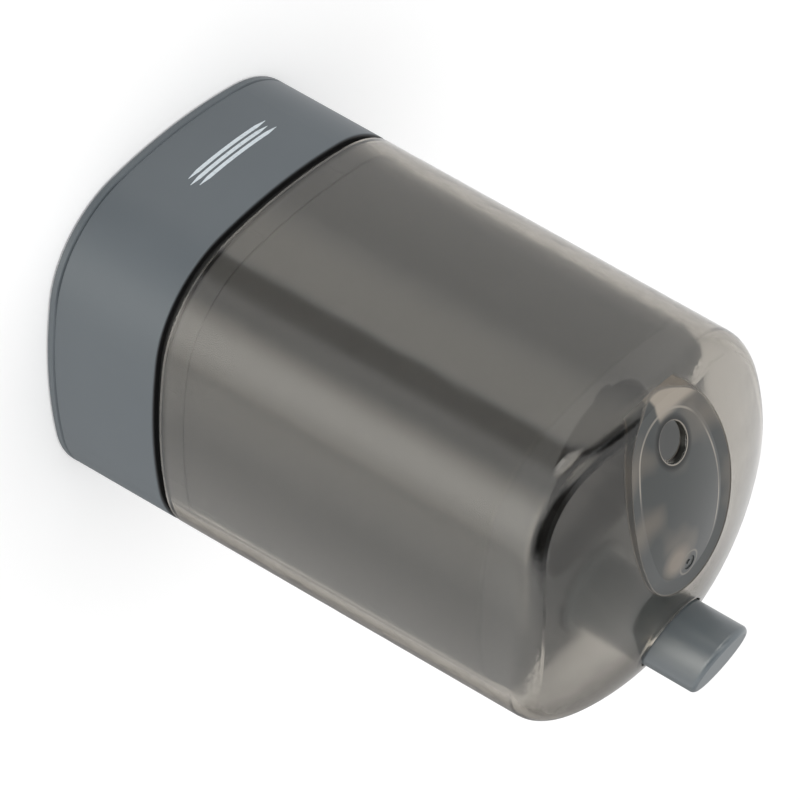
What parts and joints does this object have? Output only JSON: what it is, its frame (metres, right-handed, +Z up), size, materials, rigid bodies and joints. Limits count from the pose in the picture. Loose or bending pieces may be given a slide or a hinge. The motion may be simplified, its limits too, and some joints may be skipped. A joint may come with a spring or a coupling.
{
  "type": "toothpick dispenser",
  "caption": "Press-button toothpick dispenser: smoky lift-off shell on a grey base, hopper inside, a rocker that lifts a pick out of the outlet.",
  "frame": {"origin": "middle of the footprint, on the table under the foot pads", "axes": "+Z up, -Y the front with the outlet, +Y the rear with the button, +X to the right of someone who looks along +Y"},
  "size_m": [0.066, 0.0654, 0.1182],
  "materials": {
    "grey_abs": "satin moulded ABS, mid grey",
    "dark_hopper": "moulded, dark grey",
    "smoky_clear": "smoke-tinted clear plastic, polished outside",
    "acetal": "natural acetal, slightly waxy",
    "zinc_steel": "zinc-plated",
    "steel_pin": "ground steel rod",
    "spring_steel": "drawn spring wire",
    "pad_rubber": "matt black rubber"
  },
  "bodies": {
    "base": {"base_band": "grey_abs", "bottom_cover": "grey_abs", "cover_screws": "zinc_steel", "foot_pads": "pad_rubber", "hopper_tub": "dark_hopper", "hopper_screws": "zinc_steel", "lifter_guide": "acetal", "stem_guide": "acetal", "spring_washer": "zinc_steel", "fulcrum_bracket": "zinc_steel", "fulcrum_pin": "steel_pin", "fulcrum_clip": "zinc_steel", "bracket_screws": "zinc_steel", "return_spring": "spring_steel"},
    "shell": {"smoky_shell": "smoky_clear"},
    "button": {"button_cap": "grey_abs", "button_stem": "steel_pin", "stem_clip": "zinc_steel", "stem_pin": "steel_pin"},
    "rocker": {"rocker_lever": "acetal"},
    "lifter": {"lifter_rod": "steel_pin", "lifter_cup": "acetal", "lifter_pin": "steel_pin"}
  },
  "joints": [
    {"name": "shell_lift", "type": "slide", "parent": "base", "child": "shell", "axis": [0, 0, 1], "range_m": [0, 0.095]},
    {"name": "button_press", "type": "slide", "parent": "base", "child": "button", "axis": [0, 0, -1], "range_m": [0, 0.0085], "stiffness_N_per_m": 300, "springref_m": -0.01, "deforming": ["return_spring"]},
    {"name": "rocker_turn", "type": "hinge", "parent": "base", "child": "rocker", "pos_m": [0, 0.00437, 0.01445], "axis": [1, 0, 0], "range_deg": [-33.93, 0]},
    {"name": "lifter_rise", "type": "slide", "parent": "base", "child": "lifter", "axis": [0, 0, 1], "range_m": [0, 0.017]}
  ],
  "couplings": [
    {"joint": "rocker_turn", "follows": "button_press", "rad_per_m": -69.66},
    {"joint": "lifter_rise", "follows": "button_press", "ratio": 2}
  ]
}
